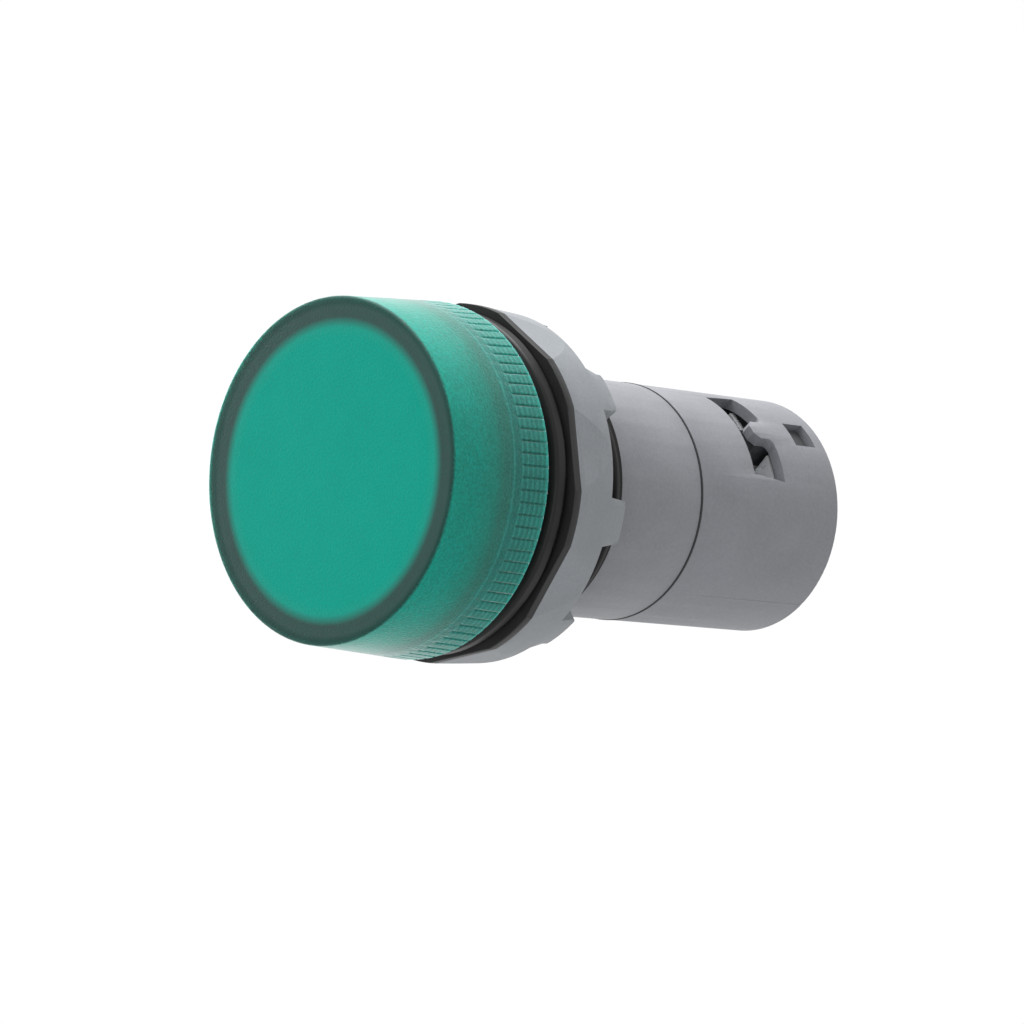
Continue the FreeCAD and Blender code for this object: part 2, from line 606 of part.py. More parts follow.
def make_terminal_block():
    """A plug in the housing's rear end: a chamber and a screw bore for each terminal, a catch above and below."""
    body = new_body("terminal_block")
    disc = across(body, BLOCK_FRONT)
    circle(disc, BLOCK)
    pad(body, "Plug", disc, f"{HOUSING_REAR} - {BLOCK_FRONT}", backward=True)
    catch = sketch_on(body, "XY_Plane")
    half = "(catch_window / 2 - catch_clearance)"
    rectangle(catch, f"-{half}", half, f"{CATCH} - {half}", f"{CATCH} + {half}")
    catches = pad(body, "Catches", catch, f"2 * ({BLOCK} + catch_height)")
    catches.Midplane = True
    chambers = sketch_on(body, "XY_Plane", BOARD_TOP)
    bores = across(body, HOUSING_REAR)
    slots = across(body, BLOCK_FRONT)
    for side in (-1, 1):
        middle = f"({side} * {CAGE_OFFSET})"
        half = f"({CAGE_WIDTH} / 2 + fit_clearance)"
        rectangle(chambers, f"{middle} - {half}", f"{middle} + {half}",
                  f"{CAGE_FRONT} - fit_clearance", f"{CAGE_REAR} + fit_clearance")
        circle(bores, "head_radius + head_clearance", middle, SCREW_HEIGHT)
        half = "(tail_width / 2 + clamp_play)"
        rectangle(slots, f"{middle} - {half}", f"{middle} + {half}",
                  BOARD_TOP, f"{BOARD_TOP} + cage_wall + clamp_play")
    pocket(body, "Chambers", chambers, HOUSING, forward=True)
    web = sketch_on(body, "XY_Plane", CAGE_TOP)
    rectangle(web, f"-{CAGE_OFFSET}", CAGE_OFFSET,
              f"{CAGE_FRONT} - fit_clearance", f"{WINDOW_FRONT} + web_setback")
    pocket(body, "WebRecess", web, HOUSING, forward=True)
    pocket(body, "ScrewBores", bores, f"{HOUSING_REAR} - {CAGE_REAR}", forward=True)
    pocket(body, "TailSlots", slots, f"{CAGE_FRONT} - {BLOCK_FRONT}")


# Terminals

def make_terminal(side, name):
    """A rectangular cage round the wire space, threaded at its rear, with a lug on top and a tail to the board."""
    middle = f"({side} * {CAGE_OFFSET})"
    left, right = f"{middle} - {CAGE_WIDTH} / 2", f"{middle} + {CAGE_WIDTH} / 2"
    cage = box(left, right, CAGE_FRONT, CAGE_REAR, BOARD_TOP, CAGE_TOP)
    tail = box(f"{middle} - tail_width / 2", f"{middle} + tail_width / 2", f"{BOARD_REAR} - tail_overlap",
               SPACE_FRONT, BOARD_TOP, f"{BOARD_TOP} + cage_wall")
    lug = box(f"{middle} - lug_width / 2", f"{middle} + lug_width / 2", SPACE_REAR, f"{SPACE_REAR} + cage_wall",
              f"{CAGE_TOP} - cage_wall", LUG_TOP)
    space = box(f"{left} + cage_wall", f"{right} - cage_wall", SPACE_FRONT, SPACE_REAR,
                f"{BOARD_TOP} - cage_wall", f"{CAGE_TOP} + cage_wall")
    thread = rod("screw_radius + fit_clearance", f"{SPACE_REAR} - cage_wall", f"{CAGE_REAR} + cage_wall",
                 middle, SCREW_HEIGHT)
    keep(cut(fused([cage, tail, lug]), fused([space, thread])), name)


def make_clamp(side, name):
    """The plate that a screw presses on the wire, across the cage's space."""
    middle = f"({side} * {CAGE_OFFSET})"
    half = f"({CAGE_WIDTH} / 2 - cage_wall - clamp_play)"
    plate = box(f"{middle} - {half}", f"{middle} + {half}", f"{CLAMP_REAR} - clamp_thickness", CLAMP_REAR,
                f"{BOARD_TOP} + clamp_margin", f"{CAGE_TOP} - clamp_margin")
    keep(plate, name)


def make_screw(side, name):
    """A cylinder-head screw along the axis's direction, with a cross recess toward the rear."""
    body = new_body(name)
    head_rear = f"({HEAD_FRONT} + head_height)"
    turned(body, "Shank", [
        (CLAMP_REAR, "0"), (CLAMP_REAR, "screw_radius - screw_bevel"),
        (f"{CLAMP_REAR} + screw_bevel", "screw_radius"), (HEAD_FRONT, "screw_radius"),
        (HEAD_FRONT, "head_radius"), (head_rear, "head_radius"), (head_rear, "0")])
    long_half, short_half = "drive_length / 2", "drive_width / 2"
    for wide, high in ((long_half, short_half), (short_half, long_half)):
        slot = across(body, head_rear)
        rectangle(slot, f"-{wide}", wide, f"-{high}", high)
        pocket(body, "Drive", slot, "drive_depth", forward=True)
    bind(body, "Placement.Base.x", f"{side} * {CAGE_OFFSET}")
    bind(body, "Placement.Base.z", SCREW_HEIGHT)


# Lights and electronics

def make_reflector():
    """A cone from the round board to the diffuser, with a foot that fills the collar."""
    body = new_body("reflector")
    root = "(light_circle + light_size + light_margin)"
    foot = f"({COLLAR_BORE} - fit_clearance)"
    foot_front = f"({LIGHT_BOARD_FRONT} - reflector_wall)"
    front = f"({DISC_REAR} + reflector_face_gap)"
    rim = f"({DIFFUSER_BORE} - reflector_rim_gap)"
    turned(body, "Cone", [
        (LIGHT_BOARD_FRONT, root), (LIGHT_BOARD_FRONT, foot), (foot_front, foot),
        (foot_front, f"{root} + reflector_wall"), (front, rim), (front, f"{rim} - reflector_wall")])


def make_led_board():
    keep(rod(f"{COLLAR_BORE} - light_board_gap", LIGHT_BOARD_FRONT, FLANGE_FRONT), "led_board")


def make_leds():
    chips = []
    half = "light_size / 2"
    for index in range(int(value("light_count"))):
        turn = f"({index} * 360 deg / light_count)"
        along, up = f"(light_circle * cos{turn})", f"(light_circle * sin{turn})"
        chips.append(box(f"{along} - {half}", f"{along} + {half}", f"{LIGHT_BOARD_FRONT} - light_height",
                         LIGHT_BOARD_FRONT, f"{up} - {half}", f"{up} + {half}", "Light"))
    grouped(chips, "leds")


def make_circuit_board():
    keep(box(f"-{BOARD_HALF}", BOARD_HALF, BOARD_FRONT, BOARD_REAR, f"{BOARD_TOP} - board_thickness", BOARD_TOP),
         "circuit_board")


def make_board_pins():
    """A row of pins from the round board's rear face, lying on the long board."""
    pins = []
    for index in range(int(value("pin_count"))):
        left = f"(({index} - (pin_count - 1) / 2) * pin_spacing - pin_size / 2)"
        pins.append(box(left, f"{left} + pin_size", FLANGE_FRONT, f"{BOARD_FRONT} + pin_overlap",
                        BOARD_TOP, f"{BOARD_TOP} + pin_size", "Pin"))
    grouped(pins, "board_pins")


def make_resistors():
    """Two resistors lying along the board, their leads in a solder post at either end."""
    bodies = []
    height = f"({BOARD_TOP} + resistor_radius + lead_radius)"
    rear = f"({COMPONENTS} + resistor_length)"
    for side in (-1, 1):
        middle = f"({side} * {RESISTOR_OFFSET})"
        barrel = rod("resistor_radius", COMPONENTS, rear, middle, height, "Barrel")
        ends = (f"{COMPONENTS} - lead_reach", f"{rear} + lead_reach")
        wire = rod("lead_radius", *ends, middle, height, "Wire")
        posts = [post("post_radius", BOARD_TOP, f"{height} + post_radius", middle, station) for station in ends]
        bodies.append(fused([barrel, wire] + posts, "Resistor"))
    grouped(bodies, "resistors")


def make_capacitor():
    """A can lying on the board."""
    body = new_body("capacitor")
    rear = f"({COMPONENTS} + capacitor_length)"
    turned(body, "Can", [(COMPONENTS, "0"), (COMPONENTS, CAPACITOR), (rear, CAPACITOR), (rear, "0")])
    dressed(body, "PartDesign::Fillet", "EndRounds", "cap_round", lambda edge: is_circle(edge, value(CAPACITOR)))
    bind(body, "Placement.Base.z", f"{BOARD_TOP} + {CAPACITOR}")


def make_rectifier():
    """A flat package with two legs on each side."""
    rear = f"({RECTIFIER_FRONT} + rectifier_length)"
    package = box("-rectifier_width / 2", "rectifier_width / 2", RECTIFIER_FRONT, rear,
                  BOARD_TOP, f"{BOARD_TOP} + rectifier_height")
    legs = []
    for side in (-1, 1):
        inner, outer = f"({side} * rectifier_width / 2)", f"({side} * (rectifier_width / 2 + leg_width))"
        left, right = (outer, inner) if side < 0 else (inner, outer)
        for station in (f"{RECTIFIER_FRONT} + leg_width / 2", f"{rear} - leg_width * 3 / 2"):
            legs.append(box(left, right, station, f"{station} + leg_width", BOARD_TOP,
                            f"{BOARD_TOP} + leg_thickness", "Leg"))
    keep(fused([package] + legs), "rectifier")


def make_surge_absorber():
    """A disc standing across the board on two leads."""
    rear = f"({ABSORBER_FRONT} + absorber_thickness)"
    centre = f"({BOARD_TOP} + absorber_stand + {ABSORBER})"
    disc = rod(ABSORBER, ABSORBER_FRONT, rear, "0", centre, "Disc")
    legs = [post("lead_radius", BOARD_TOP, centre, f"{side} * absorber_leads / 2",
                 f"{ABSORBER_FRONT} + absorber_thickness / 2", "Leg") for side in (-1, 1)]
    keep(fused([disc] + legs), "surge_absorber")


make_lens()
make_diffuser()
make_lens_seal()
make_front_body()
make_panel_gasket()
make_nut_washer()
make_panel_nut()
make_housing_front()
make_housing_seal()
make_housing_rear()
make_terminal_block()
for side, place in ((-1, "left"), (1, "right")):
    make_terminal(side, f"terminal_{place}")
    make_clamp(side, f"clamp_{place}")
    make_screw(side, f"screw_{place}")
make_reflector()
make_led_board()
make_leds()
make_circuit_board()
make_board_pins()
make_resistors()
make_capacitor()
make_rectifier()
make_surge_absorber()

doc.recompute()
for item in doc.Objects:
    if {"Invalid", "Error"} & set(item.State):
        raise ValueError(f"{item.Label} could not be rebuilt")
for item in parts:
    if item.Shape.isNull() or not item.Shape.isValid():
        raise ValueError(f"{item.Label} has no valid shape")

os.makedirs("parts", exist_ok=True)
for item in parts:
    item.Shape.exportStep(f"parts/{item.Label}.step")
    print(item.Label, len(item.Shape.Solids), round(item.Shape.Volume, 2))
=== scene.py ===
"""Looks of the panel pilot light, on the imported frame. Lengths are in millimetres where nothing else is said."""
import bpy
import math
from mathutils import Matrix, Vector


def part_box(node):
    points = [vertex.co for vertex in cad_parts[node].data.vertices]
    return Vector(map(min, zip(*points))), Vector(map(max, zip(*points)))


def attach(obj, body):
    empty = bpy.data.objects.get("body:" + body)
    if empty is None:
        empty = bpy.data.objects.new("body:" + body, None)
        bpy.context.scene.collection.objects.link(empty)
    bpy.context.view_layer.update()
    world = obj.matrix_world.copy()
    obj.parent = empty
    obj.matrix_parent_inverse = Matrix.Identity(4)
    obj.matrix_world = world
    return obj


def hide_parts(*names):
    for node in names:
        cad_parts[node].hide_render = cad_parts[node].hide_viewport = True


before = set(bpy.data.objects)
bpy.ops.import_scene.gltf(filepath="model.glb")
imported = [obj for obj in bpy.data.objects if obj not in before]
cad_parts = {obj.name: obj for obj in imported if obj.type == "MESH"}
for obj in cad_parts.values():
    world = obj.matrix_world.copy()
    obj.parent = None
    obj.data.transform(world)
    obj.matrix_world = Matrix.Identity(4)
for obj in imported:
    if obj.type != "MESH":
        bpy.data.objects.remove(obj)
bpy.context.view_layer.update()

MM = 0.001
ON_PLANE = 0.05  # a point this close to a plane counts as lying on it

# Camera, as fitted to the photograph, with its roll in degrees
CAMERA_PLACE = (210.075, -290.079, 197.515)
CAMERA_TARGET = (4.273, 4.087, 1.574)
CAMERA_ROLL = 40.25
CAMERA_CLIP = 1
FOCAL_PIXELS = 5000
IMAGE_PIXELS = 1024
SENSOR_WIDTH = 36.0

# Light: the lamps' powers are in watts
LAMPS = {
    "key": {"direction": (-0.867, 0.0, 0.5), "distance": 420, "size": 320, "power": 2.85},
    "fill": {"direction": (0.35, -0.9, 0.2), "distance": 500, "size": 400, "power": 0.47},
}
WORLD_LIGHT = 0.62
FLOOR_HALF = 4000
FLOOR_DROP = 70
FLOOR_GREY = 0.85
FLOOR_WHITE_SHARE = 0.92

# Places read from the frame
lens_low, lens_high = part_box("lens")
LENS_FRONT = lens_low[1] / MM
LENS_REAR = lens_high[1] / MM
RIB_RADIUS = lens_high[0] / MM
body_low, body_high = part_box("front_body")
COLLAR_FRONT = body_low[1] / MM
NECK_REAR = body_high[1] / MM
FLANGE_RADIUS = body_high[0] / MM
nut_low, nut_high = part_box("panel_nut")
OBJECT_LOW = nut_low[2] / MM
NUT_FRONT = nut_low[1] / MM
NUT_REAR = nut_high[1] / MM
LUG_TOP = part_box("terminal_left")[1][2] / MM
HOUSING_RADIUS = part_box("housing_rear")[1][0] / MM

# Lens
LENS_DRAFT = 0.6
FACE_RADIUS = RIB_RADIUS - LENS_DRAFT
FACE_WALL = 1.6
SIDE_WALL = 2.1
EDGE_ROUND = 0.3
REAR_RIM_ROUND = 0.15
SEAL_BORE = 13.76
SEAL_REACH = 1.16
THREAD_BORE = 12.68
THREAD_RELIEF = 0.5

# Grip of the lens: fine grooves along the axis, whose spacing and phase are angles
RIB_BAND = 3.1
BAND_FRONT = LENS_REAR - RIB_BAND
RIB_COUNT = 92
RIB_SPACING = 2 * math.pi / RIB_COUNT
RIB_PHASE = math.radians(-0.69)
RIB_DEPTH = 0.12
RIB_GROOVE = 0.3
RIB_RAMP = 0.3

# Points of the lens's mesh: rings of the face, and stations along the side and the grip
FACE_RINGS = (5.0, 10.0)
SIDE_START = 2
SIDE_SPACING = 1.5
GRIP_SPACING = 0.9
ARC_STEPS = 6

# Nut, washer and terminals
WASHER_GROWTH = 0.25
TAB_GROWTH = 0.42
TAB_END = 0.3
LUG_LEAN = 0.15
LUG_MIDDLE = 2.9
LUG_INNER = 1.7
LUG_OUTER = 4.2
LUG_RADIUS = HOUSING_RADIUS - 1.1

# Front body
NECK_RADIUS = 11.0
NECK_BORE = 9.4
COLLAR_RADIUS = 12.6
COLLAR_BORE = 11.3
FLANGE_FRONT = -2.7
FLANGE_REAR = -1.85
PITCH = 1.5
THREAD_DEPTH = 0.85
THREAD_FLANK = 0.42  # half the groove's width, as a share of the pitch
THREAD_RUNOUT = 0.9
THREAD_FRONT = 0.3
PITCH_STEPS = 14
TURN_STEPS = 240

# Edges: angles in degrees, and the widths of the rounds
SHARP_ANGLE = 32
ROUND_ANGLE = 35
REAR_SHELL_ANGLE = 50
ROUND_STEPS = 2
WELD_REACH = 0.001
WASHER_ROUND = 0.06
NUT_ROUND = 0.16
CAGE_ROUND = 0.05
REAR_SHELL_ROUND = 0.05
FRONT_SHELL_ROUND = 0.04

# Colours, as linear light
BRIGHT_GREEN = (0.002, 0.330, 0.255)
FACE_EDGE_GREEN = (0.010, 0.320, 0.245)
RING_GREEN = (0.038, 0.086, 0.077)
# Painted shade on the lens's rounded front rim, on the face's outer edge and the first tenth of a millimetre of
# the side
RIM_SHADE_GREEN = (0.018, 0.064, 0.055)
SIDE_GREEN = (0.006, 0.292, 0.227)
DULL_GREEN = (0.016, 0.245, 0.190)
BAND_GREEN = (0.030, 0.190, 0.152)
FOOT_GREEN = (0.023, 0.188, 0.157)
LINE_GREEN = (0.040, 0.285, 0.235)
# Painted shade in the grooves of the lens's grip, where their walls and floors lie in shade
GROOVE_SHADE_GREEN = (0.004, 0.070, 0.055)
GREY = (0.232, 0.238, 0.260)
NUT_GREY = (0.240, 0.257, 0.275)

# Where the lens's colours lie: on its face from the bright disc's centre, and on its side from its front
BRIGHT_CENTRE = (0.32, LENS_FRONT, 0.27)
FACE_STOPS = [(0.0, BRIGHT_GREEN), (10.8, BRIGHT_GREEN), (11.6, FACE_EDGE_GREEN), (12.4, RING_GREEN),
              (13.2, RING_GREEN), (13.55, RIM_SHADE_GREEN)]
SIDE_STOPS = [(0.0, RIM_SHADE_GREEN), (0.1, RIM_SHADE_GREEN), (0.35, SIDE_GREEN), (2.6, SIDE_GREEN), (4.6, DULL_GREEN),
              (5.6, BAND_GREEN), (6.3, BAND_GREEN)]
SIDE_LINES = (6.6, 7.5, 8.05, 8.6, 9.1, 9.6, 10.1)
LINE_REACH = 0.17
FACE_REACH = (0.02, 0.08)  # behind the face's plane, where the face's colours give way to the side's
# How much of the painted groove shade is mixed into the side's colour
GROOVE_SHADE_SHARE = 0.28
GROOVE_EDGE = (0.07, 0.14)  # from a groove's middle, as shares of the spacing
GRIP_DEPTH = (0.2, 0.1)  # below the face's radius, where the grip's outer surface ends

# Grain of the plastics: sizes, shares of the colour and the gloss, and the range that most of a noise lies in
NOISE_SPAN = (0.3, 0.7)
CLOUD_SIZE = 4.0
CLOUD_DETAIL = 3.0
CLOUD_SHARE = 0.6
CLOUD_SWING = 0.11
GLOSS_SWING = 0.05
SPECKLE_SIZE = 1.6  # times the grain's size
SPECKLE_DETAIL = 1.0

# Grain of the metals
METAL_LINE_SIZE = 0.3
METAL_LINE_STRETCH = (1, 0.1, 1)
METAL_DENT_SIZE = 1.2
METAL_SHADES = (0.85, 1.05)
METAL_GLOSS_SWING = (-0.06, 0.1)
METAL_DEPTH = 0.004

# Frost of the lens
FROST_SIZE = 0.2
FROST_DEPTH = 0.05
FROST_CLOUD_SIZE = 2.5
FROST_CLOUD_SHARE = 0.2
FROST_SPAN = (0.4, 0.8)
FROST_SWING_SIDE = 0.2
FROST_SWING_FACE = 0.08
FROST_ROUGHNESS = (0.42, 0.60)
EDGE_WOBBLE = 0.3
SIDE_WOBBLE_SHARE = 0.3

# The mould's parting line on the rear housing: below the middle, and from where it starts along the axis
PARTING_ANGLE = math.radians(2.6)
PARTING_WIDTH = 0.012  # an angle
PARTING_START = (23.5, 25.5)
PARTING_DEPTH = 0.05

# Plastics and rubbers: name, colour, roughness, size and depth of the grain, and gloss
HOUSING_ROUGHNESS = 0.52
PIECE_PLASTICS = {
    "threaded_body": ("black_plastic", (0.007, 0.006, 0.007), 0.38, 0.2, 0.01, 0.25),
    "nut_washer_plate": ("washer_plastic", (0.022, 0.022, 0.023), 0.5, 0.16, 0.012, 0.3),
    "fixing_nut": ("nut_plastic", NUT_GREY, 0.5, 0.15, 0.012),
}
NODE_PLASTICS = {
    "diffuser": ("diffuser_frosted", (0.62, 0.74, 0.70), 0.55, 0.3, 0.02),
    "lens_seal": ("seal_rubber", (0.006, 0.006, 0.006), 0.6, 0.2, 0.01, 0.2),
    "panel_gasket": ("gasket_rubber", (0.007, 0.007, 0.007), 0.38, 0.35, 0.008, 0.25),
    "housing_front": ("housing_plastic", GREY, HOUSING_ROUGHNESS),
    "housing_seal": ("ring_plastic", (0.034, 0.034, 0.036), 0.6, 0.2, 0.01, 0.2),
    "terminal_block": ("block_plastic", (0.050, 0.052, 0.056), 0.55),
    "reflector": ("reflector_plastic", (0.80, 0.80, 0.79), 0.35, 0.4, 0.01),
    "led_board": ("white_laminate", (0.72, 0.73, 0.70), 0.45, 0.5, 0.01),
    "leds": ("led_resin", (0.80, 0.62, 0.16), 0.25, 0.5, 0.01),
    "circuit_board": ("green_laminate", (0.02, 0.12, 0.05), 0.35, 0.5, 0.015),
    "resistors": ("resistor_lacquer", (0.10, 0.25, 0.42), 0.3, 0.5, 0.02),
    "capacitor": ("capacitor_sleeve", (0.02, 0.025, 0.06), 0.3, 0.6, 0.01),
    "rectifier": ("package_epoxy", (0.02, 0.02, 0.02), 0.55, 0.1, 0.02),
    "surge_absorber": ("absorber_lacquer", (0.02, 0.08, 0.35), 0.25, 0.6, 0.03),
}

# Metals: name, colour, roughness, and how metallic the less bright ones are
METALS = {
    "terminals": ("terminal_plating", (0.86, 0.88, 0.90), 0.3, 0.45),
    "screws": ("screw_plating", (0.70, 0.70, 0.69), 0.26),
    "pins": ("pin_plating", (0.78, 0.62, 0.30), 0.3),
}


# Meshes

def add_piece(name, mesh, material, body):
    """An object for a mesh, with one material, that rides on a body."""
    mesh.materials.append(material)
    piece = bpy.data.objects.new(name, mesh)
    bpy.context.collection.objects.link(piece)
    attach(piece, body)
    return piece


def new_piece(name, vertices, faces, material, body):
    """A piece from points in millimetres and faces, smooth apart from its sharp edges."""
    mesh = bpy.data.meshes.new(name)
    mesh.from_pydata([Vector(vertex) * MM for vertex in vertices], [], faces)
    mesh.validate()
    mesh.update()
    mesh.shade_smooth()
    mesh.set_sharp_from_angle(angle=math.radians(SHARP_ANGLE))
    return add_piece(name, mesh, material, body)


def lathe(profile, turns, relief):
    """Vertices and faces of an outline of stations and radii turned about the axis.

    The outline is closed on itself unless it starts and ends on the axis. turns are the places of its copies,
    from +Z toward +X, and relief(station, radius, turn) gives the radius at one of them.
    """
    steps = len(turns)
    vertices, rows = [], []
    for station, radius in profile:
        if radius == 0:
            rows.append([len(vertices)] * steps)
            vertices.append((0, station, 0))
            continue
        row = []
        for turn in turns:
            reach = relief(station, radius, turn)
            row.append(len(vertices))
            vertices.append((reach * math.sin(turn), station, reach * math.cos(turn)))
        rows.append(row)
    on_axis = profile[0][1] == 0
    pairs = list(zip(rows, rows[1:])) + ([] if on_axis else [(rows[-1], rows[0])])
    faces = []
    for near, far in pairs:
        for step in range(steps):
            following = (step + 1) % steps
            corners = (near[step], near[following], far[following], far[step])
            faces.append(tuple(dict.fromkeys(corners)))
    return vertices, faces


def arc(station, radius, size, start, end):
    """Points of a round about a centre, from one angle to another, in degrees."""
    turns = [math.radians(start + (end - start) * index / ARC_STEPS) for index in range(ARC_STEPS + 1)]
    return [(station + size * math.sin(turn), radius + size * math.cos(turn)) for turn in turns]


def spread(start, end, spacing):
    """Evenly spaced numbers from start to end, both included."""
    count = max(1, round(abs(end - start) / spacing))
    return [start + (end - start) * index / count for index in range(count + 1)]


def soften(item, width, angle=ROUND_ANGLE):
    """Round the edges of a piece that are sharper than an angle."""
    weld = item.modifiers.new("Weld", "WELD")
    weld.merge_threshold = WELD_REACH * MM
    bevel = item.modifiers.new("Rounds", "BEVEL")
    bevel.width = width * MM
    bevel.segments = ROUND_STEPS
    bevel.limit_method = "ANGLE"
    bevel.angle_limit = math.radians(angle)
    bevel.harden_normals = True
    bevel.use_clamp_overlap = True


# Shader nodes: an owner is a material or a world, and a source is a socket or a plain value

def new_material(name, **uniform):
    """A material with a principled shader whose given sockets have uniform values."""
    material = bpy.data.materials.new(name)
    material.use_nodes = True
    for socket, value in uniform.items():
        drive(material, socket.replace("_", " "), value)
    return material


def connect(owner, source, target):
    """Link a source to a socket, or set the socket to it."""
    if isinstance(source, bpy.types.NodeSocket):
        owner.node_tree.links.new(source, target)
    else:
        target.default_value = source


def node(owner, kind, inputs=None, **settings):
    """A new node with its settings and the sources of its inputs."""
    made = owner.node_tree.nodes.new(kind)
    for key, setting in settings.items():
        setattr(made, key, setting)
    for key, source in (inputs or {}).items():
        connect(owner, source, made.inputs[key])
    return made


def shader_input(material, socket):
    """A socket of the material's principled shader."""
    return material.node_tree.nodes["Principled BSDF"].inputs[socket]


def drive(material, socket, source):
    """Give a socket of the material's shader its source."""
    connect(material, source, shader_input(material, socket))


def place(material):
    """The point's place in the row frame, in metres."""
    return node(material, "ShaderNodeTexCoord").outputs["Object"]


def coordinates(material):
    """The point's x, y and z in the row frame, in metres."""
    return node(material, "ShaderNodeSeparateXYZ", {0: place(material)}).outputs


def arithmetic(owner, operation, *terms):
    """The result of a math node."""
    return node(owner, "ShaderNodeMath", dict(enumerate(terms)), operation=operation).outputs[0]


def noise(material, size, detail=2.0, stretch=(1, 1, 1)):
    """Noise whose features are about size millimetres across, stretched along the axes."""
    scaled = node(material, "ShaderNodeMapping", {"Vector": place(material), "Scale": stretch})
    made = node(material, "ShaderNodeTexNoise",
                {"Vector": scaled.outputs[0], "Scale": 1 / (size * MM), "Detail": detail})
    return made.outputs["Fac"]


def between(owner, amount, low, high, from_low=0.0, from_high=1.0):
    """A number moved from one range to another, held within it."""
    made = node(owner, "ShaderNodeMapRange", {
        "Value": amount, "From Min": from_low, "From Max": from_high, "To Min": low, "To Max": high})
    return made.outputs["Result"]


def along(material, length, start, end, low=0.0, high=1.0):
    """From low at a start to high at an end, two places in millimetres, by a length in metres."""
    return between(material, length, low, high, start * MM, end * MM)


def mixed(material, amount, first, second):
    """A colour between two colours."""
    made = node(material, "ShaderNodeMix", data_type="RGBA")
    for key, source in ((0, amount), (6, first), (7, second)):
        connect(material, source, made.inputs[key])
    return made.outputs[2]


def shade(colour, factor=1.0):
    """A colour times a factor, with its alpha."""
    return tuple(channel * factor for channel in colour) + (1.0,)


def ramp(material, length, start, end, stops):
    """A colour that changes from a start to an end; each stop is a distance from the start and a colour."""
    made = node(material, "ShaderNodeValToRGB", {"Fac": along(material, length, start, end)})
    elements = made.color_ramp.elements
    while len(elements) < len(stops):
        elements.new(0.5)
    for element, (distance, colour) in zip(elements, stops):
        element.position = distance / (end - start)
        element.color = shade(colour)
    return made.outputs["Color"]


def roughen(material, height, depth):
    """Bump from a height between 0 and 1, depth in millimetres, on top of any bump that is there."""
    inputs = {"Height": height, "Strength": 1.0, "Distance": depth * MM}
    normal = shader_input(material, "Normal")
    if normal.is_linked:
        inputs["Normal"] = normal.links[0].from_socket
    drive(material, "Normal", node(material, "ShaderNodeBump", inputs).outputs["Normal"])


# Materials

def moulded_plastic(name, colour, roughness, grain=0.18, depth=0.02, gloss=0.5):
    """Plastic with a fine moulded grain, faint clouds of colour and an uneven gloss."""
    material = new_material(name, Specular_IOR_Level=gloss)
    clouds = noise(material, CLOUD_SIZE, CLOUD_DETAIL)
    speckle = noise(material, grain * SPECKLE_SIZE, SPECKLE_DETAIL)
    amount = arithmetic(material, "MULTIPLY_ADD", clouds, CLOUD_SHARE,
                        arithmetic(material, "MULTIPLY", speckle, 1 - CLOUD_SHARE))
    drive(material, "Base Color", mixed(material, between(material, amount, 0.0, 1.0, *NOISE_SPAN),
                                        shade(colour, 1 - CLOUD_SWING), shade(colour, 1 + CLOUD_SWING)))
    drive(material, "Roughness",
          between(material, clouds, roughness - GLOSS_SWING, roughness + GLOSS_SWING, *NOISE_SPAN))
    roughen(material, noise(material, grain), depth)
    return material


def plated_metal(name, colour, roughness, metallic=1.0):
    """Bright plated metal with fine lines along the axis and small dents."""
    material = new_material(name, Metallic=metallic)
    lines = noise(material, METAL_LINE_SIZE, stretch=METAL_LINE_STRETCH)
    dents = noise(material, METAL_DENT_SIZE)
    dark, light = (shade(colour, factor) for factor in METAL_SHADES)
    drive(material, "Base Color", mixed(material, dents, dark, light))
    smooth, rough = (roughness + swing for swing in METAL_GLOSS_SWING)
    drive(material, "Roughness", between(material, lines, smooth, rough, *NOISE_SPAN))
    roughen(material, arithmetic(material, "ADD", lines, dents), METAL_DEPTH)
    return material


def groove_shade_mask(material, radius, x, y, z):
    """How far a point of the lens lies in a groove of its grip, from 0 to 1; shade is painted there."""
    ribs = arithmetic(material, "MULTIPLY_ADD", arithmetic(material, "ARCTAN2", x, z),
                      1 / RIB_SPACING, 0.5 - RIB_PHASE / RIB_SPACING)
    from_middle = arithmetic(material, "ABSOLUTE",
                             arithmetic(material, "SUBTRACT", arithmetic(material, "FRACT", ribs), 0.5))
    groove = between(material, from_middle, 1.0, 0.0, *GROOVE_EDGE)
    in_band = along(material, y, BAND_FRONT, BAND_FRONT + RIB_RAMP)
    outside = along(material, radius, *(FACE_RADIUS - depth for depth in GRIP_DEPTH))
    return arithmetic(material, "MULTIPLY", arithmetic(material, "MULTIPLY", groove, in_band), outside)


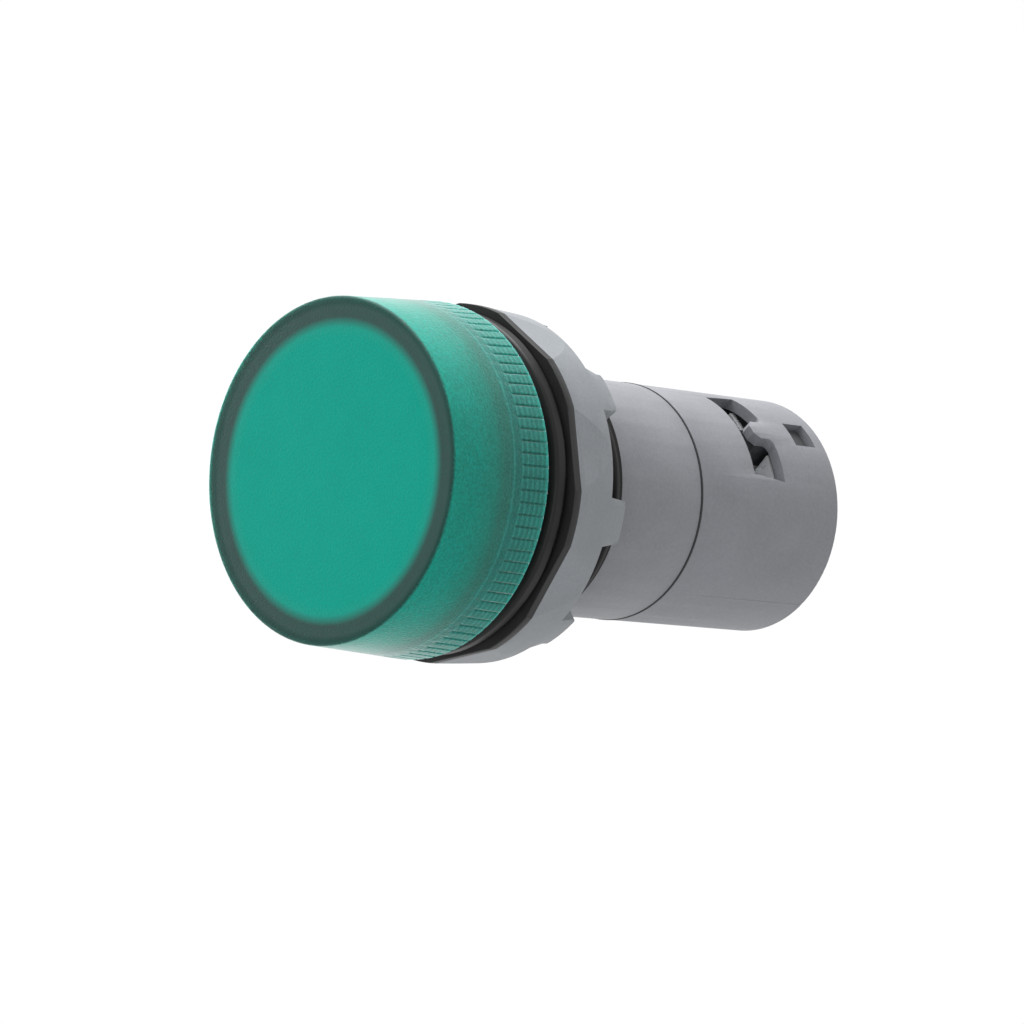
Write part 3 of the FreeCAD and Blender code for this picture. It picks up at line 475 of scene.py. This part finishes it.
def lens_material():
    """Frosted green: the lit-looking face, the dark ring where the wall stands behind it, painted shade on the
    rounded front rim, and the ribbed side with shade painted into its grooves.
    """
    material = new_material("lens_frosted", IOR=1.49, Specular_IOR_Level=0.12,
                            Sheen_Weight=1.0, Sheen_Roughness=0.3,
                            Subsurface_Weight=1.0, Subsurface_Radius=(0.4, 1.0, 0.9), Subsurface_Scale=2.5 * MM)
    x, y, z = coordinates(material)
    radius = arithmetic(material, "SQRT", arithmetic(material, "MULTIPLY_ADD", x, x,
                                                     arithmetic(material, "MULTIPLY", z, z)))
    frost = noise(material, FROST_SIZE)
    wobble = arithmetic(material, "MULTIPLY", arithmetic(material, "SUBTRACT", frost, 0.5), EDGE_WOBBLE * MM)

    centre = tuple(offset * MM for offset in BRIGHT_CENTRE)
    from_centre = node(material, "ShaderNodeVectorMath", {0: place(material), 1: centre}, operation="DISTANCE")
    face = ramp(material, arithmetic(material, "ADD", from_centre.outputs["Value"], wobble),
                0.0, FACE_RADIUS, FACE_STOPS)

    lines = [stop for line in SIDE_LINES for stop in
             ((line - LINE_REACH, FOOT_GREEN), (line, LINE_GREEN), (line + LINE_REACH, FOOT_GREEN))]
    side = ramp(material, arithmetic(material, "MULTIPLY_ADD", wobble, SIDE_WOBBLE_SHARE, y),
                LENS_FRONT, LENS_REAR, SIDE_STOPS + lines)
    # Painted shade in the grooves of the grip, mixed into the side's colour
    grooves = arithmetic(material, "MULTIPLY", groove_shade_mask(material, radius, x, y, z), GROOVE_SHADE_SHARE)
    side = mixed(material, grooves, side, shade(GROOVE_SHADE_GREEN))

    on_face = along(material, y, *(LENS_FRONT + reach for reach in FACE_REACH), 1.0, 0.0)
    colour = mixed(material, on_face, side, face)
    clouds = noise(material, FROST_CLOUD_SIZE)
    mottle = arithmetic(material, "MULTIPLY_ADD", clouds, FROST_CLOUD_SHARE, frost)
    swing = between(material, on_face, FROST_SWING_SIDE, FROST_SWING_FACE)
    speckle = between(material, mottle, arithmetic(material, "SUBTRACT", 1.0, swing),
                      arithmetic(material, "ADD", 1.0, swing), *FROST_SPAN)
    shaded = node(material, "ShaderNodeVectorMath", {0: colour, "Scale": speckle}, operation="SCALE")
    drive(material, "Base Color", shaded.outputs[0])
    drive(material, "Roughness", between(material, frost, *FROST_ROUGHNESS, *NOISE_SPAN))
    roughen(material, frost, FROST_DEPTH)
    return material


def parted_plastic():
    """Grey plastic of the rear housing, with the mould's parting line along both sides."""
    material = moulded_plastic("housing_plastic_rear", GREY, HOUSING_ROUGHNESS)
    x, y, z = coordinates(material)
    angle = arithmetic(material, "ARCTAN2", z, arithmetic(material, "ABSOLUTE", x))
    off_line = arithmetic(material, "ABSOLUTE", arithmetic(material, "ADD", angle, PARTING_ANGLE))
    line = between(material, off_line, 1.0, 0.0, 0.0, PARTING_WIDTH)
    roughen(material, arithmetic(material, "MULTIPLY", line, along(material, y, *PARTING_START)), PARTING_DEPTH)
    return material


# Pieces

def threaded(station, radius, turn):
    """Radius of the neck's outside where the thread is cut: full at its ends, where the groove runs out."""
    if radius != NECK_RADIUS:
        return radius
    phase = (station / PITCH - turn / (2 * math.pi)) % 1.0
    groove = max(0.0, 1.0 - abs(phase - 0.5) / THREAD_FLANK)
    from_ends = min(station - THREAD_FRONT, NECK_REAR - station)
    fade = min(1.0, max(0.0, from_ends / THREAD_RUNOUT))
    return radius - THREAD_DEPTH * groove * fade


def side_radius(station):
    """The lens's outside, a straight taper from its face to its rear rim."""
    return RIB_RADIUS - LENS_DRAFT * (LENS_REAR - station) / (LENS_REAR - LENS_FRONT)


def ribbed(station, radius, turn):
    """Radius of the lens's outside with its grooves, which come up to the surface at the band's front."""
    if station < BAND_FRONT or radius < side_radius(station) - RIB_DEPTH:
        return radius
    offset = abs((turn - RIB_PHASE + RIB_SPACING / 2) % RIB_SPACING - RIB_SPACING / 2) * RIB_RADIUS
    start = min(1.0, (station - BAND_FRONT) / RIB_RAMP)
    return radius - RIB_DEPTH * start * max(0.0, 1.0 - offset / (RIB_GROOVE / 2))


def rib_turns():
    """Turns at the foot, the edges and the land of every groove."""
    edge = RIB_GROOVE / 2 / RIB_RADIUS
    third = (RIB_SPACING - 2 * edge) / 3
    offsets = (0, edge, edge + third, RIB_SPACING - edge - third, RIB_SPACING - edge)
    return [RIB_PHASE + RIB_SPACING * rib + offset for rib in range(RIB_COUNT) for offset in offsets]


def make_lens():
    """The lens's shell: its face, its side with the grip, and its bores for the seal and the thread."""
    centre = [(LENS_FRONT, radius) for radius in (0, *FACE_RINGS)]
    slope = math.degrees(math.atan2(LENS_DRAFT, LENS_REAR - LENS_FRONT))
    round_middle = LENS_FRONT + EDGE_ROUND
    front = arc(round_middle, side_radius(round_middle) - EDGE_ROUND, EDGE_ROUND, -90, -slope)
    stations = (spread(LENS_FRONT + SIDE_START, BAND_FRONT, SIDE_SPACING)
                + spread(BAND_FRONT + RIB_RAMP, LENS_REAR - REAR_RIM_ROUND, GRIP_SPACING))
    side = [(station, side_radius(station)) for station in stations]
    rim = [(LENS_REAR, RIB_RADIUS - REAR_RIM_ROUND)]
    seal_front = FLANGE_FRONT - SEAL_REACH
    thread_front = COLLAR_FRONT - THREAD_RELIEF
    face_rear = LENS_FRONT + FACE_WALL
    lens_bore = FACE_RADIUS - SIDE_WALL
    inside = [(LENS_REAR, SEAL_BORE), (seal_front, SEAL_BORE), (seal_front, THREAD_BORE),
              (thread_front, THREAD_BORE), (thread_front, lens_bore), (face_rear, lens_bore), (face_rear, 0)]
    vertices, faces = lathe(centre + front + side + rim + inside, rib_turns(), ribbed)
    piece = new_piece("lens_shell", vertices, faces, lens_material(), "lens")
    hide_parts("lens")


def make_front_body():
    """The black body: its collar, its flange and its threaded neck."""
    black = moulded_plastic(*PIECE_PLASTICS["threaded_body"])
    collar = [(COLLAR_FRONT, COLLAR_BORE), (COLLAR_FRONT, COLLAR_RADIUS), (FLANGE_FRONT, COLLAR_RADIUS),
              (FLANGE_FRONT, FLANGE_RADIUS), (FLANGE_REAR, FLANGE_RADIUS)]
    neck = [(station, NECK_RADIUS) for station in spread(FLANGE_REAR, NECK_REAR, PITCH / PITCH_STEPS)]
    bore = [(NECK_REAR, NECK_BORE), (FLANGE_FRONT, NECK_BORE), (FLANGE_FRONT, COLLAR_BORE)]
    turns = [2 * math.pi * step / TURN_STEPS for step in range(TURN_STEPS)]
    vertices, faces = lathe(collar + neck + bore, turns, threaded)
    piece = new_piece("threaded_body", vertices, faces, black, "housing")
    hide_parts("front_body")


def reshaped(name, source, material, body, move):
    """A copy of a CAD node with its points moved, in the node's place."""
    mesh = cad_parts[source].data.copy()
    for vertex in mesh.vertices:
        vertex.co = Vector(move(*(vertex.co / MM))) * MM
    mesh.materials.clear()
    piece = add_piece(name, mesh, material, body)
    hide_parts(source)
    return piece


def thicker_washer(x, y, z):
    """The washer's rear face further back."""
    return x, y + (WASHER_GROWTH if y > NUT_FRONT - ON_PLANE else 0), z


def longer_tabs(x, y, z):
    """The nut's front face behind the thicker washer, and its tabs longer."""
    if y < NUT_FRONT + ON_PLANE:
        return x, y + WASHER_GROWTH, z
    return x, y + (TAB_GROWTH if y > NUT_REAR - TAB_END else 0), z


def bent_lug(x, y, z):
    """The top of the right terminal's lug broadened, bent back a little and cut to the housing's curve."""
    if z < LUG_TOP - ON_PLANE:
        return x, y, z
    x = LUG_INNER if x < LUG_MIDDLE else LUG_OUTER
    return x, y + LUG_LEAN, math.sqrt(LUG_RADIUS ** 2 - x ** 2)


def make_reshaped(metal):
    """The nut, its washer and the terminal that shows through the opening."""
    plastic = moulded_plastic(*PIECE_PLASTICS["nut_washer_plate"])
    washer = reshaped("nut_washer_plate", "nut_washer", plastic, "washer", thicker_washer)
    soften(washer, WASHER_ROUND)
    plastic = moulded_plastic(*PIECE_PLASTICS["fixing_nut"])
    nut = reshaped("fixing_nut", "panel_nut", plastic, "nut", longer_tabs)
    soften(nut, NUT_ROUND)
    cage = reshaped("terminal_right_cage", "terminal_right", metal, "housing", bent_lug)
    soften(cage, CAGE_ROUND)


def dress_frame():
    """Materials and rounded edges of the CAD nodes, and the nodes that get a changed shape."""
    metals = {use: plated_metal(*look) for use, look in METALS.items()}
    looks = {name: moulded_plastic(*look) for name, look in NODE_PLASTICS.items()}
    looks["housing_rear"] = parted_plastic()
    looks["board_pins"] = metals["pins"]
    looks["terminal_left"] = looks["clamp_left"] = looks["clamp_right"] = metals["terminals"]
    looks["screw_left"] = looks["screw_right"] = metals["screws"]
    for name, material in looks.items():
        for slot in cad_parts[name].material_slots:
            slot.material = material
    soften(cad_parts["housing_rear"], REAR_SHELL_ROUND, REAR_SHELL_ANGLE)
    soften(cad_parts["housing_front"], FRONT_SHELL_ROUND)
    make_reshaped(metals["terminals"])


# Stage

def seen_rays(owner, share=1.0):
    """A share for camera, glossy and transmission rays, and 0 for the others."""
    path = node(owner, "ShaderNodeLightPath")
    total = arithmetic(owner, "ADD", path.outputs["Is Camera Ray"], path.outputs["Is Glossy Ray"])
    total = arithmetic(owner, "ADD", total, path.outputs["Is Transmission Ray"])
    return arithmetic(owner, "MULTIPLY", arithmetic(owner, "MINIMUM", total, 1.0), share)


def make_floor():
    """A pale floor below the part, white to the camera apart from a share that keeps the shadow."""
    mesh = bpy.data.meshes.new("floor")
    signs = ((-1, -1), (1, -1), (1, 1), (-1, 1))
    mesh.from_pydata([Vector((x * FLOOR_HALF, y * FLOOR_HALF, OBJECT_LOW - FLOOR_DROP)) * MM for x, y in signs],
                     [], [(0, 1, 2, 3)])
    floor = bpy.data.objects.new("floor", mesh)
    bpy.context.collection.objects.link(floor)
    material = new_material("floor_white")
    material.node_tree.nodes.clear()
    plain = node(material, "ShaderNodeBsdfDiffuse", {"Color": shade((FLOOR_GREY,) * 3)})
    glow = node(material, "ShaderNodeEmission", {"Color": (1, 1, 1, 1), "Strength": 1.0})
    surface = node(material, "ShaderNodeMixShader", {
        0: seen_rays(material, FLOOR_WHITE_SHARE), 1: plain.outputs[0], 2: glow.outputs[0]})
    node(material, "ShaderNodeOutputMaterial", {"Surface": surface.outputs[0]})
    mesh.materials.append(material)


def make_world():
    """White to the camera and in reflections, a plain soft light otherwise."""
    world = bpy.data.worlds.new("studio")
    bpy.context.scene.world = world
    world.use_nodes = True
    background = world.node_tree.nodes["Background"]
    background.inputs["Color"].default_value = (1, 1, 1, 1)
    connect(world, between(world, seen_rays(world), WORLD_LIGHT, 1.0), background.inputs["Strength"])


def area_light(name, direction, distance, size, power):
    """A square soft light that looks at the part from a direction."""
    light = bpy.data.lights.new(name, "AREA")
    light.size = size * MM
    light.energy = power
    item = bpy.data.objects.new(name, light)
    item.location = Vector(direction).normalized() * distance * MM
    item.rotation_euler = (-item.location).to_track_quat("-Z", "Y").to_euler()
    bpy.context.collection.objects.link(item)


def make_camera():
    """The camera that was fitted to the photograph."""
    camera = bpy.data.cameras.new("camera")
    camera.sensor_width = SENSOR_WIDTH
    camera.lens = FOCAL_PIXELS * SENSOR_WIDTH / IMAGE_PIXELS
    camera.clip_start = CAMERA_CLIP * MM
    item = bpy.data.objects.new("camera", camera)
    start, target = Vector(CAMERA_PLACE) * MM, Vector(CAMERA_TARGET) * MM
    aim = (target - start).to_track_quat("-Z", "Y").to_matrix().to_4x4()
    item.matrix_world = Matrix.Translation(start) @ aim @ Matrix.Rotation(math.radians(CAMERA_ROLL), 4, "Z")
    bpy.context.collection.objects.link(item)
    bpy.context.scene.camera = item


make_camera()
make_world()
for lamp, settings in LAMPS.items():
    area_light(lamp, **settings)
make_floor()
make_lens()
make_front_body()
dress_frame()
bpy.context.scene.view_settings.view_transform = "Standard"
